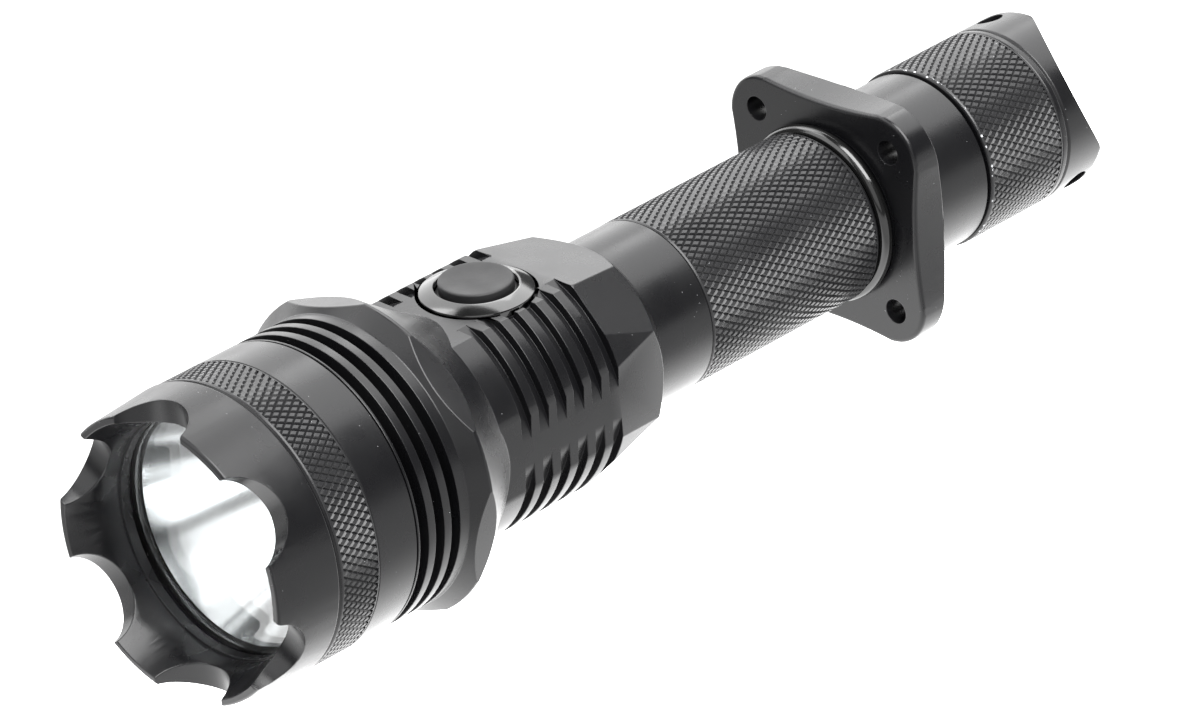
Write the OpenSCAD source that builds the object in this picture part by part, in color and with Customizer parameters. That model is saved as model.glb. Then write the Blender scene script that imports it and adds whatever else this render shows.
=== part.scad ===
// Tactical LED flashlight for one cylindrical lithium cell. All sizes are in millimetres.
// Every piece is drawn along a station axis that starts at the crown's tooth tips and runs to the tail,
// with the side switch facing up, and is then laid along X about the middle of the flashlight's length.

/* [Crown bezel] */
// Length of the crown from its tooth tips to its shoulder
crown_len = 10.7; // [9.6:0.1:14]
// Diameter of the head over the crown's shoulder, which the lens, shell, fins and flange follow
head_d = 42.7; // [41.6:0.1:45]
// How far the tooth tips stand inside the shoulder
crown_draft = 0.7; // [0.3:0.05:1]
// Wall of the crown at the tooth tips
mouth_wall = 1.05; // [0.8:0.05:1.6]
// Number of teeth
crown_teeth = 6; // [4:1:8]
// Radius of the round cutter that makes the scallops
scallop_r = 6.4; // [4.5:0.1:7]
// Depth of the scallops
scallop_depth = 5.4; // [3:0.1:5.8]
// Turn of the first scallop from the switch side
crown_turn = -4.5; // [-30:0.5:30]
// Length of the funnel behind the mouth
funnel_len = 5.3; // [4:0.1:5.8]
// Length of the threaded skirt
skirt_len = 5.5; // [4:0.1:6.5]
// How far the threaded skirt stands inside the shoulder
skirt_step = 1.45; // [1.3:0.05:1.6]

/* [Lens and reflector] */
// How far the crown's lip laps over the edge of the lens
lens_lap = 1.2; // [1:0.1:2]
// Lens thickness
lens_t = 2; // [1.5:0.1:2.6]
// How far the lens face stands in front of the crown's shoulder
lens_sink = 1; // [0.6:0.1:1.8]
// Cord diameter of the lens seal
lens_seal_d = 1.2; // [0.8:0.1:1.4]
// Depth of the reflector from its rim to the hole around the LED
reflector_depth = 21.8; // [20.5:0.1:22.5]
// Wall of the reflector
reflector_wall = 0.9; // [0.6:0.1:1]
// Thickness of the reflector's rim
reflector_rim = 1; // [0.8:0.1:1.6]
// Radius of the hole around the LED
led_hole_r = 5.2; // [4.6:0.1:5.3]

/* [LED board] */
// Side of the square LED package
led_side = 5; // [3.5:0.1:5.6]
// Height of the LED package
led_h = 0.8; // [0.6:0.1:1.2]
// Diameter of the LED board
led_board_d = 20; // [19.8:0.1:20.4]
// Thickness of the LED board
led_board_t = 1.6; // [1:0.1:2]
// Thickness of the insulating flange of the centring ring
led_gasket_t = 0.3; // [0.2:0.1:0.6]
// Distance of the board screws from the axis
board_screw_r = 8.3; // [8.2:0.05:8.4]

/* [Head shell] */
// Length of the head shell
shell_len = 14.5; // [13.5:0.1:17]
// How far the head shell stands inside the crown's shoulder
shell_step = 0.15; // [0:0.05:0.4]
// Length of the knurled band at the front
shell_knurl_len = 7.2; // [5:0.1:9]
// Depth of all knurling
knurl_depth = 0.3; // [0.2:0.05:0.4]

/* [Head body] */
// Number of cooling grooves
groove_count = 3; // [1:1:3]
// Width of a cooling groove
groove_w = 1.6; // [1:0.1:1.9]
// Depth of a cooling groove
groove_depth = 2.4; // [1:0.1:2.8]
// Width of a fin between two grooves
fin_w = 1.35; // [0.8:0.05:2]
// Length of the land behind the last groove
flange_land = 1.7; // [1:0.1:3]
// Length of the flare that rises to the flange's rim
flare_len = 2.2; // [1:0.1:3]
// How far the flange's rim stands outside the crown's shoulder
flange_rise = 1.85; // [0.9:0.05:2]
// How far the flats of the flange stand outside the crown's shoulder
flats_rise = 0.55; // [0.05:0.05:0.8]
// Number of flats round the flange
flats_count = 6; // [4:2:8]
// Turn of the flange's flats from the switch side
flats_turn = 45; // [0:1:90]
// Length of the shoulder from the rim down to the grip
shoulder_len = 11; // [10:0.1:15]
// Length of the slotted grip
grip_len = 20; // [19.6:0.1:26]
// Height of the switch flat above the axis
grip_top = 15.3; // [14.8:0.1:15.8]
// Diameter of the turned ribs
grip_d = 35.4; // [35:0.1:36.2]
// Distance of the side and bottom flats from the axis
grip_side = 16.9; // [16.4:0.05:17.1]
// Number of turned slots
slot_count = 6; // [3:1:6]
// Width of a slot
slot_w = 1.8; // [1:0.1:1.9]
// Width of a rib between two slots
rib_w = 1.6; // [1:0.1:1.8]
// Depth of the slots
slot_depth = 0.7; // [0.4:0.05:1]
// Length of the tapered collar behind the grip
collar_len = 9.6; // [8:0.1:14]
// How far the top facet falls along the collar
collar_fall_top = 1.45; // [0.5:0.05:1.6]
// Distance of the diagonal facets from the axis where the collar begins
collar_diag = 17.3; // [17.1:0.05:17.5]
// How far the diagonal facets fall along the collar
collar_fall_diag = 2.1; // [1.2:0.05:2.4]
// How far the side facets fall along the collar
collar_fall_side = 1.85; // [1:0.05:2.2]
// How far the collar's rear face stands outside the tube's neck
collar_end_rise = 0.3; // [0.1:0.05:0.8]
// Length of the turned chamfer that ends the collar
collar_chamfer = 2.9; // [2:0.1:3.2]
// Thickness of the shelf that carries the LED board
shelf_t = 4.4; // [3:0.1:6]

/* [Side switch] */
// Outer diameter of the trim ring
ring_d = 16.4; // [15.4:0.1:17]
// Distance of the side switch in front of the collar
switch_inset = 8.9; // [8.6:0.1:10]
// Height of the trim ring above the flat
ring_rise = 1.1; // [0.6:0.1:1.6]
// Depth of the ring's seat in the flat
ring_sink = 0.7; // [0.4:0.1:1]
// Diameter of the button
button_d = 11.2; // [9:0.1:11.4]
// Height of the button above the flat
button_rise = 2; // [1.3:0.1:2.6]
// Travel of the button
button_travel = 0.5; // [0.2:0.05:0.6]

/* [Driver] */
// How far the inner cavity stands inside the driver board's edge
cavity_step = 0.7; // [0.5:0.05:1.1]
// How far the driver board stands inside the tube's front thread
driver_step = 0.7; // [0.6:0.05:0.9]
// Thickness of the driver board
driver_t = 1.6; // [1:0.1:2]
// Thickness of the retaining ring behind the driver
driver_ring_t = 2; // [1.5:0.1:2.2]

/* [Battery tube] */
// Play of the cell in the tube all round
cell_play = 0.5; // [0.3:0.05:0.7]
// Wall of the tube at its plain neck, which the knurl, the guard's seat and the collars follow
neck_wall = 3; // [2.8:0.05:3.3]
// Length of the plain neck
neck_len = 10.7; // [6:0.1:16]
// Length of the tube's knurled grip
tube_knurl_len = 33.5; // [20:0.1:45]
// How far the knurl's crests stand outside the neck
knurl_rise = 0.05; // [0:0.05:0.1]
// Length of the relief between the knurl and the guard's seal ring
relief_len = 0.8; // [0.5:0.1:4]
// How far the seat under the guard stands outside the neck
seat_rise = 0.1; // [0.05:0.05:0.25]
// How far the rear collar behind the guard stands outside the neck
rear_rise = 0.4; // [0.4:0.05:0.6]
// Length of the rear collar
rear_collar_len = 13.6; // [8:0.1:20]
// Wall of the tube at its front thread
front_wall = 1.9; // [1.8:0.05:2]
// Length of the front threaded end
front_thread_len = 9.2; // [8.2:0.1:9.6]
// Wall of the tube at its rear thread
rear_wall = 2.2; // [2:0.05:2.3]
// Length of the rear threaded end
rear_thread_len = 7.2; // [6:0.1:9]
// Cord diameter of the seal rings at both threaded ends
thread_seal_d = 1.2; // [1:0.1:1.3]

/* [Guard] */
// Thickness of the guard plate
guard_t = 6.5; // [4:0.1:10]
// Distance of the middle of a side from the axis
guard_mid = 16.75; // [16.4:0.05:17.2]
// Sideways distance of the corner centres from the axis
guard_corner = 10.9; // [10.4:0.1:11.4]
// Radius of the corners
guard_corner_r = 6.6; // [6.4:0.1:7.4]
// How far the corners are turned back from the rear face
guard_fall = 2.4; // [0.5:0.1:3]
// Rounding of the guard's edges
guard_edge = 0.7; // [0.4:0.1:1.2]
// Diameter of the four corner holes
guard_hole_d = 3.6; // [2.5:0.1:4]
// Diameter of the circle through the corner holes
guard_hole_circle = 34.9; // [33:0.1:36]
// Cord diameter of the seal ring in front of the guard
guard_seal_d = 2.2; // [1.6:0.1:2.4]

/* [Cell] */
// Diameter of the cell
cell_d = 18.4; // [17.6:0.1:19]
// Length of the cell with its button contact
cell_len = 70; // [65:0.5:71]

/* [Tail cap] */
// Wall of the tail cap over the tube's rear thread
cap_skirt = 1.6; // [1.5:0.05:2.1]
// Length of the tail cap
cap_len = 25.05; // [24.4:0.05:30]
// Length of the tail cap's knurl
cap_knurl_len = 15.2; // [8:0.1:15.4]
// Distance of the line groove from the cap's front
cap_line = 16.65; // [16:0.05:17]
// Width of the line groove
cap_line_w = 0.6; // [0.3:0.1:0.9]
// Depth of the thumb recess between the ears
ear_len = 5.85; // [5:0.05:7]
// Inner diameter of the thumb recess
recess_d = 21.2; // [20:0.1:22]
// Radius of the cutter that makes the two thumb scallops
thumb_r = 14; // [12:0.1:18]
// Turn of the thumb scallops from the switch side
thumb_turn = 55; // [0:1:90]
// Diameter of the lanyard holes
lanyard_d = 3.8; // [2.5:0.1:4]
// Angle between an ear's middle and each of its lanyard holes
lanyard_angle = 14; // [12.5:0.5:20]
// Thickness of the cap's rear wall
cap_wall = 2; // [1.5:0.1:2.5]
// Diameter of the tail button
tail_button_d = 11.8; // [9:0.1:12.4]
// Travel of the tail button
tail_travel = 1.2; // [0.6:0.1:1.3]

/* [Hidden] */
$fn = 96;

// Clearances
thread_gap = 0.08;   // radial, in a thread or a turning fit
seat_gap = 0.1;      // radial, round a piece that is dropped into a bore
slide_gap = 0.2;     // radial, round a button
face_gap = 0.05;     // along the axis, between faces that screw together
eps = 0.5;           // overrun of a cutter past the face that it opens

// Radii
edge = 0.3;          // small turned edge break
crown_r = head_d / 2;
tip_r = crown_r - crown_draft;
mouth_r = tip_r - mouth_wall;
skirt_r = crown_r - skirt_step;
skirt_wall = 1.2;
pocket_r = skirt_r - skirt_wall;               // lens pocket in the crown's skirt
lens_play = 0.3;                               // radial play of the lens in its pocket
lens_r = pocket_r - lens_play;
window_r = lens_r - lens_lap;                  // clear radius of the light window
throat_step = 0.4;
throat_r = window_r + throat_step;             // plain throat behind the funnel
lip_t = 1.6;                                   // length of the lip in front of the lens
shell_r = crown_r - shell_step;
fin_r = shell_r;
rim_r = crown_r + flange_rise;
flats_r = crown_r + flats_rise;

// Stations of the lens, the reflector and the LED board
z_shoulder = crown_len;
z_lens = z_shoulder - lens_sink;
z_rim = z_lens + lens_t + lens_seal_d;
z_seat = z_rim + reflector_rim;
opening_inset = 0.2;                           // from the window's edge to the reflector's opening
opening_r = window_r - opening_inset;
z_base = z_rim + reflector_depth;
reflector_focus = (opening_r * opening_r - led_hole_r * led_hole_r) / (4 * reflector_depth);
z_apex = z_base + led_hole_r * led_hole_r / (4 * reflector_focus);
z_board = z_base + led_gasket_t;
z_shelf = z_board + led_board_t;
z_cavity = z_shelf + shelf_t;

// Stations of the head's outside
z_joint = z_shoulder + shell_len;
fin_lead = 0.4;
z_flange = z_joint + fin_lead + groove_count * groove_w + (groove_count - 1) * fin_w;
z_flare = z_flange + flange_land;
z_peak = z_flare + flare_len;
rim_len = 0.5;
z_foot = z_peak + rim_len + shoulder_len;
z_crease = z_foot + grip_len;
z_collar = z_crease + collar_len;
z_body = z_collar + collar_chamfer;
slots_len = slot_count * slot_w + (slot_count - 1) * rib_w;
z_slots = z_crease - slots_len;
z_switch = z_crease - switch_inset;
grip_r = grip_d / 2;
slot_floor_r = grip_r - slot_depth;

// Radii and walls inside the head
seat_r = lens_r;                               // outside of the reflector's seat on the head body
seat_bore_r = opening_r + reflector_wall - seat_gap;  // bore behind the reflector's rim
shell_thread_step = 0.5;
shell_run = 1;                                 // from the crown's skirt to the head body's thread
shell_thread_r = skirt_r - shell_thread_step;  // thread between the head shell and the head body
board_r = led_board_d / 2;
bore_r = cell_d / 2 + cell_play;
front_thread_r = bore_r + front_wall;
driver_r = front_thread_r - driver_step;
cavity_r = driver_r - cavity_step;
z_tube = z_body - front_thread_len;
driver_front_gap = 1.1;                        // from the driver's ring to the battery tube
z_driver = z_tube - driver_front_gap - driver_ring_t - driver_t;

// Stations and radii of the battery tube
neck_r = bore_r + neck_wall;
z_knurl = z_body + neck_len;
z_relief = z_knurl + tube_knurl_len;
z_seal = z_relief + relief_len;
seal_side_gap = 0.3;                           // width left beside a seal ring in its groove
guard_lip = 0.1;
guard_seal_w = guard_seal_d + seal_side_gap;
z_guard = z_seal + guard_seal_w + guard_lip;
z_rear = z_guard + guard_t;
z_cap = z_rear + rear_collar_len;
rear_thread_r = bore_r + rear_wall;
z_tube_end = z_cap + rear_thread_len;
guard_seat_r = neck_r + seat_rise;
guard_seal_sink = 0.6;
guard_floor = guard_seat_r - guard_seal_d / 2 - guard_seal_sink;
rear_collar_r = neck_r + rear_rise;

// Seal ring grooves at the tube's two threaded ends
seal_w = thread_seal_d + seal_side_gap;
seal_inset = 1;
seal_ease = 0.02;
front_floor = front_thread_r + thread_gap - thread_seal_d;
rear_floor = rear_thread_r + thread_gap - thread_seal_d;

// Stations and radii of the cell and the tail
cell_button_h = 1.5;
cell_inset = 1.5;
z_cell = z_tube + cell_inset;
z_cell_end = z_cell + cell_len;
cap_r = rear_thread_r + cap_skirt;
cap_bore_r = rear_thread_r + thread_gap;
z_end = z_cap + cap_len;
total_len = z_end;
z_recess = z_end - ear_len;
z_wall = z_recess - cap_wall;
chamber_inset = 1;
chamber_step = 1.58;
z_chamber = z_tube_end + chamber_inset;
chamber_r = cap_bore_r - chamber_step;
tail_ring_t = 2;
z_tail_board = z_chamber + tail_ring_t;
tail_board_t = 1.4;
z_tail_switch = z_tail_board + tail_board_t;
tail_switch_h = 2.6;
tail_flange_t = 1.15;
tail_button_r = tail_button_d / 2;
tail_flange_w = 1.5;
tail_flange_r = tail_button_r + tail_flange_w;
z_tail_flange = z_wall - face_gap - tail_flange_t;

// Heights of the side switch above the axis
ring_r = ring_d / 2;
button_r = button_d / 2;
button_bore_r = button_r + slide_gap;
button_flange_w = 0.6;
button_flange_t = 0.6;
button_flange_r = button_r + button_flange_w;
ring_chamber_r = button_flange_r + slide_gap;
spigot_wall = 0.8;
spigot_r = ring_chamber_r + spigot_wall;
h_ring_top = grip_top + ring_rise;
h_ring_seat = grip_top - ring_sink;
ring_lip = 0.6;
h_lip = h_ring_seat - ring_lip;
h_board = 10;
switch_board_t = 1;
h_switch = h_board + switch_board_t;
h_flange_top = h_lip - seat_gap;
h_flange = h_flange_top - button_flange_t;
h_button_top = grip_top + button_rise;

// A point on a quarter-round from a to b, where t runs from 0 to 1 and the round bulges towards corner c
function quarter(a, b, c, n) = [for (i = [0 : n]) let (t = i / n)
    (1 - t) * (1 - t) * a + 2 * t * (1 - t) * c + t * t * b];

// Lays a piece that is drawn along the station axis into the flashlight's own frame
module lay() {
    translate([-total_len / 2, 0, 0])
        rotate([90, 0, 90])
            children();
}

// Turns a piece that is drawn upright on the axis so that it points up at the side switch
module at_switch() {
    translate([0, 0, z_switch])
        rotate([-90, 0, 0])
            children();
}

module disc(r, z0, z1) {
    translate([0, 0, z0])
        cylinder(r = r, h = z1 - z0);
}

module hoop(r_out, r_in, z0, z1) {
    difference() {
        disc(r_out, z0, z1);
        disc(r_in, z0 - eps, z1 + eps);
    }
}

module seal_ring(r_inner, cord_d, z_mid) {
    translate([0, 0, z_mid])
        rotate_extrude()
            translate([r_inner + cord_d / 2, 0])
                circle(d = cord_d, $fn = 48);
}

module crown_bezel() {
    profile = [[mouth_r, 0], [tip_r - edge, 0], [tip_r, edge], [crown_r, z_shoulder - edge],
        [crown_r - edge, z_shoulder - face_gap], [skirt_r, z_shoulder - face_gap],
        [skirt_r, z_shoulder + skirt_len], [pocket_r, z_shoulder + skirt_len], [pocket_r, z_lens],
        [window_r, z_lens], [window_r, z_lens - lip_t], [throat_r, z_lens - lip_t], [throat_r, funnel_len]];
    color("#2b2c2e") lay() difference() {
        rotate_extrude() polygon(profile);
        for (i = [0 : crown_teeth - 1])
            rotate([0, 0, crown_turn + i * 360 / crown_teeth])
                translate([0, 0, scallop_depth - scallop_r])
                    rotate([-90, 0, 0])
                        cylinder(r = scallop_r, h = head_d);
    }
}

module lens() {
    z_back = z_lens + lens_t;
    profile = [[0, z_lens], [lens_r - edge, z_lens], [lens_r, z_lens + edge], [lens_r, z_back - edge],
        [lens_r - edge, z_back], [0, z_back]];
    color("#dfe9ee", 0.35) lay() rotate_extrude() polygon(profile);
}

module lens_seal() {
    inner_r = lens_r - edge - lens_seal_d;
    color("#141414") lay() seal_ring(inner_r, lens_seal_d, z_lens + lens_t + lens_seal_d / 2);
}

module head_shell() {
    knurl_r = shell_r - knurl_depth;
    z_knurl_end = z_shoulder + edge + shell_knurl_len;
    skirt_relief = 0.6;
    step_z = z_shoulder + skirt_len + skirt_relief;
    front = [[skirt_r + thread_gap, z_shoulder], [shell_r - edge, z_shoulder], [shell_r, z_shoulder + edge]];
    knurl = [[knurl_r, z_shoulder + edge + knurl_depth], [knurl_r, z_knurl_end - knurl_depth],
        [shell_r, z_knurl_end]];
    rear = [[shell_r, z_joint - edge], [shell_r - edge, z_joint], [shell_thread_r, z_joint],
        [shell_thread_r, step_z], [skirt_r + thread_gap, step_z]];
    profile = concat(front, knurl, rear);
    color("#303133") lay() rotate_extrude() polygon(profile);
}

// Height of the reflector's mirror above its apex at a given radius
function dish(r) = r * r / (4 * reflector_focus);

module reflector() {
    steps = 24;
    radii = [for (i = [0 : steps]) led_hole_r + (opening_r - led_hole_r) * i / steps];
    mirror_side = [for (r = radii) [r, z_apex - dish(r)]];
    back_side = [for (i = [steps : -1 : 0]) if (z_apex - dish(radii[i]) > z_seat)
        [radii[i] + reflector_wall, z_apex - dish(radii[i])]];
    rim = [[lens_r - edge, z_rim], [lens_r - edge, z_seat], [seat_bore_r - slide_gap, z_seat]];
    color("#e8eaec") lay() rotate_extrude() polygon(concat(mirror_side, rim, back_side));
}

module led_centring_ring() {
    collar_h = 0.8;
    opening = led_side + 2 * seat_gap;
    z_front = z_base - collar_h - eps;
    color("#f1f1ec") lay() difference() {
        union() {
            disc(led_hole_r - seat_gap, z_base - collar_h, z_base);
            disc(led_hole_r + reflector_wall, z_base, z_board);
        }
        translate([-opening / 2, -opening / 2, z_front])
            cube([opening, opening, z_board + eps - z_front]);
    }
}

module led_package() {
    color("#e9e6d8") lay() translate([-led_side / 2, -led_side / 2, z_board - led_h])
        cube([led_side, led_side, led_h]);
}

module led_dome() {
    dome_r = led_side / 2 - edge;
    color("#f0d868") lay() difference() {
        translate([0, 0, z_board - led_h]) sphere(r = dome_r);
        disc(led_side, z_board - led_h, z_board + led_side);
    }
}

module led_board() {
    color("#f4f5f2") lay() difference() {
        disc(board_r, z_board, z_shelf);
        screw_places() disc(screw_r + seat_gap, z_board - eps, z_shelf + eps);
        lead_holes(z_board, z_shelf);
    }
}

// Board screws, and the holes that they pass through
screw_r = 1;
screw_head_r = 1.5;
screw_head_h = 0.8;
screw_socket_r = 0.6;
screw_len = 3;

module screw_places() {
    for (a = [0, 180])
        rotate([0, 0, a])
            translate([board_screw_r, 0, 0])
                children();
}

module board_screws() {
    color("#b9bcc0") lay() screw_places() difference() {
        union() {
            disc(screw_head_r, z_board - screw_head_h, z_board);
            disc(screw_r, z_board, z_board + screw_len);
        }
        disc(screw_socket_r, z_board - screw_head_h - eps, z_board - screw_head_h / 2);
    }
}

// Leads from the driver to the LED board, and the holes that they pass through
lead_r = 0.7;
lead_reach = 7;

module lead_places() {
    for (a = [60, 240])
        rotate([0, 0, a])
            translate([lead_reach, 0, 0])
                children();
}

module lead_holes(z0, z1) {
    lead_places() disc(lead_r + slide_gap, z0 - eps, z1 + eps);
}

module led_leads() {
    color("#a3201c") lay() lead_places() disc(lead_r, z_board, z_driver);
}

// Outer edges of the flats, which bend down where the collar begins, and of the collar's diagonal facets
function taper(h, fall, z) = [h - fall * (z - z_crease) / collar_len, z];
function bent_line(h, fall) = [[h, z_peak], [h, z_crease], taper(h, fall, z_body)];
function straight_line(h, fall) = [taper(h, fall, z_peak), taper(h, fall, z_body)];

// A slab across the axis that is bounded by one such edge
module facet_slab(line) {
    reach = rim_r;
    rotate([90, 0, 90])
        translate([0, 0, -reach])
            linear_extrude(2 * reach)
                polygon(concat([[-reach, z_peak]], line, [[-reach, z_body]]));
}

module facets() {
    intersection_for(i = [0 : 7]) {
        rotate([0, 0, 45 * i])
            if (i == 0) facet_slab(bent_line(grip_top, collar_fall_top));
            else if (i % 2 == 1) facet_slab(straight_line(collar_diag, collar_fall_diag));
            else facet_slab(bent_line(grip_side, collar_fall_side));
    }
}

module grip_turned() {
    slots = [for (k = [0 : slot_count - 1]) let (z = z_slots + k * (slot_w + rib_w))
        each [[grip_r, z], [slot_floor_r, z], [slot_floor_r, z + slot_w], [grip_r, z + slot_w]]];
    end_r = bore_r + neck_wall + collar_end_rise;
    collar_end = [[grip_r, z_body - grip_r + end_r], [end_r, z_body], [0, z_body]];
    rotate_extrude()
        polygon(concat([[0, z_peak], [grip_r, z_peak]], slots, collar_end));
}

module head_turned() {
    foot_sink = 0.6;
    foot_run = 3.4;
    foot = [grip_top - foot_sink, z_foot + foot_run];
    rim_back = [rim_r, z_peak + rim_len];
    bend = [grip_top, z_foot];
    shoulder = quarter(rim_back, foot, bend, 8);
    groove_r = fin_r - groove_depth;
    grooves = [for (i = [0 : groove_count - 1]) let (z = z_joint + fin_lead + i * (groove_w + fin_w))
        each [[fin_r, z], [groove_r, z], [groove_r, z + groove_w], [fin_r, z + groove_w]]];
    flange = concat([[fin_r, z_flare], [rim_r, z_peak]], shoulder);
    rotate_extrude()
        polygon(concat([[0, z_joint], [fin_r, z_joint]], grooves, flange, [[0, foot[1]]]));
}

module flange_flats() {
    intersection_for(i = [0 : flats_count / 2 - 1])
        rotate([0, 0, 90 + flats_turn + i * 360 / flats_count])
            translate([-flats_r, -head_d, 0])
                cube([2 * flats_r, 2 * head_d, z_body]);
}

module switch_pocket() {
    board_shelf = 1.6;
    at_switch() {
        disc(ring_r + seat_gap, h_ring_seat, rim_r);
        disc(spigot_r + seat_gap, h_board, rim_r);
        disc(spigot_r - board_shelf, 0, h_board + eps);
    }
}

module head_bores() {
    bowl_room = 4;
    step_bore_r = board_r + bowl_room;
    disc(seat_bore_r, z_seat - eps, z_joint);
    disc(step_bore_r, z_joint - eps, (z_joint + z_shelf) / 2);
    disc(board_r + slide_gap, z_joint, z_shelf);
    disc(cavity_r, z_cavity, z_driver);
    disc(driver_r + seat_gap, z_driver, z_body + eps);
    disc(front_thread_r + thread_gap, z_tube - eps, z_body + eps);
    lead_holes(z_shelf, z_cavity);
    screw_places() disc(screw_r + thread_gap, z_shelf - eps, z_board + screw_len + edge);
}

module head_body() {
    color("#2a2b2d") lay() difference() {
        union() {
            disc(seat_r, z_seat, z_joint + eps);
            disc(shell_thread_r - thread_gap, z_shoulder + skirt_len + shell_run, z_joint + eps);
            intersection() {
                head_turned();
                flange_flats();
            }
            intersection() {
                grip_turned();
                facets();
            }
        }
        head_bores();
        switch_pocket();
    }
}

module driver_board() {
    color("#1e5a34") lay() disc(driver_r, z_driver, z_driver + driver_t);
}

module driver_parts() {
    coil_r = 4;
    coil_h = 5;
    chip = [3.5, 3.5, 1.6];
    capacitor = [3, 4, 1.4];
    color("#3a3b3d") lay() {
        hoop(coil_r, coil_r / 2, z_driver - coil_h, z_driver);
        translate([-coil_r - chip[0], 1, z_driver - chip[2]]) cube(chip);
        translate([coil_r + 1, -capacitor[1], z_driver - capacitor[2]]) cube(capacitor);
    }
}

module driver_retainer() {
    z0 = z_driver + driver_t;
    ring_w = 2.9;
    key_r = 0.7;
    key_floor = 0.8;
    color("#b6a05a") lay() difference() {
        hoop(driver_r, driver_r - ring_w, z0, z0 + driver_ring_t);
        for (a = [0, 180])
            rotate([0, 0, a])
                translate([driver_r - ring_w / 2, 0, z0 + key_floor])
                    cylinder(r = key_r, h = driver_ring_t);
    }
}

// Wire springs: one unbroken tube along a helix, wider at one end
coil_rings = 8;
coil_sides = 6;

// A spring is [turns, radius at its first end, radius at its second end, first station, last station, wire]
function coil_radius(c, i) = c[1] + (c[2] - c[1]) * i / (c[0] * coil_rings);
function coil_station(c, i) = c[3] + c[5] / 2 + (c[4] - c[3] - c[5]) * i / (c[0] * coil_rings);
function coil_centre(c, i) = let (a = 360 * i / coil_rings)
    [coil_radius(c, i) * cos(a), coil_radius(c, i) * sin(a), coil_station(c, i)];

// Smallest gap between one curl of the wire and the next
function coil_gap(c) = min([for (i = [0 : (c[0] - 1) * coil_rings])
    for (k = [i + coil_rings / 2 : c[0] * coil_rings]) norm(coil_centre(c, k) - coil_centre(c, i))]) - c[5];

module coil(c) {
    last = c[0] * coil_rings;
    wire_r = c[5] / 2;
    points = [for (i = [0 : last], k = [0 : coil_sides - 1])
        let (a = 360 * i / coil_rings, b = 360 * k / coil_sides, r = coil_radius(c, i) + wire_r * cos(b))
            [r * cos(a), r * sin(a), coil_station(c, i) + wire_r * sin(b)]];
    sides = [for (i = [0 : last - 1], k = [0 : coil_sides - 1])
        let (a = i * coil_sides + k, b = i * coil_sides + (k + 1) % coil_sides)
        each [[a, b, b + coil_sides], [a, b + coil_sides, a + coil_sides]]];
    first_cap = [for (k = [1 : coil_sides - 2]) [0, k + 1, k]];
    base = last * coil_sides;
    last_cap = [for (k = [1 : coil_sides - 2]) [base, base + k, base + k + 1]];
    polyhedron(points, concat(sides, first_cap, last_cap));
}

head_wire = 0.9;
head_coil_base = 5.5;
head_coil_tip = 3.2;
tail_wire = 1.1;
tail_coil_tip = 3.4;
tail_coil_base = 6;
head_coil = [3, head_coil_base, head_coil_tip, z_driver + driver_t, z_cell, head_wire];
tail_coil = [6, tail_coil_tip, tail_coil_base, z_cell_end, z_tail_board, tail_wire];
echo(head_spring_gap = coil_gap(head_coil), tail_spring_gap = coil_gap(tail_coil));

module head_spring() {
    color("#c9a64a") lay() coil(head_coil);
}

module tail_spring() {
    color("#c9a64a") lay() coil(tail_coil);
}

module switch_ring() {
    ring_land = 0.9;
    bevel_r = button_bore_r + ring_land;
    profile = [[button_bore_r, h_lip], [button_bore_r, h_ring_top - edge],
        [button_bore_r + edge, h_ring_top],
        [bevel_r, h_ring_top], [ring_r, grip_top + edge], [ring_r, h_ring_seat], [spigot_r, h_ring_seat],
        [spigot_r, h_switch], [ring_chamber_r, h_switch], [ring_chamber_r, h_lip]];
    color("#77797c") lay() at_switch() rotate_extrude() polygon(profile);
}

module side_button() {
    dish_depth = 0.25;
    rounding = 0.6;
    crown_edge = quarter([button_r, h_button_top - rounding], [button_r - rounding, h_button_top],
        [button_r, h_button_top], 4);
    h_dish = h_button_top - dish_depth;
    dish_edge = [[button_r - 2 * rounding, h_button_top], [button_r - 4 * rounding, h_dish], [0, h_dish]];
    color("#1c1c1d") lay() at_switch() rotate_extrude()
        polygon(concat([[0, h_flange], [button_flange_r, h_flange], [button_flange_r, h_flange_top],
            [button_r, h_flange_top]], crown_edge, dish_edge));
}

plunger_r = 1.4;
side_switch_side = 5.2;
side_switch_h = 1.5;
plunger_sink = 0.4;                            // how deep a plunger stands in its switch
plunger_room = 0.2;                            // left under a plunger that is pressed home

module side_plunger() {
    color("#d8d4c4") lay() at_switch() disc(plunger_r, h_switch + side_switch_h - plunger_sink, h_flange);
}

module side_switch() {
    h_well = h_switch + side_switch_h - plunger_sink - plunger_room - button_travel;
    color("#8d9094") lay() at_switch() difference() {
        translate([-side_switch_side / 2, -side_switch_side / 2, h_switch])
            cube([side_switch_side, side_switch_side, side_switch_h]);
        disc(plunger_r + slide_gap, h_well, h_ring_top);
    }
}

module side_switch_board() {
    color("#1e5a34") lay() at_switch() disc(spigot_r, h_board, h_switch);
}

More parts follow.
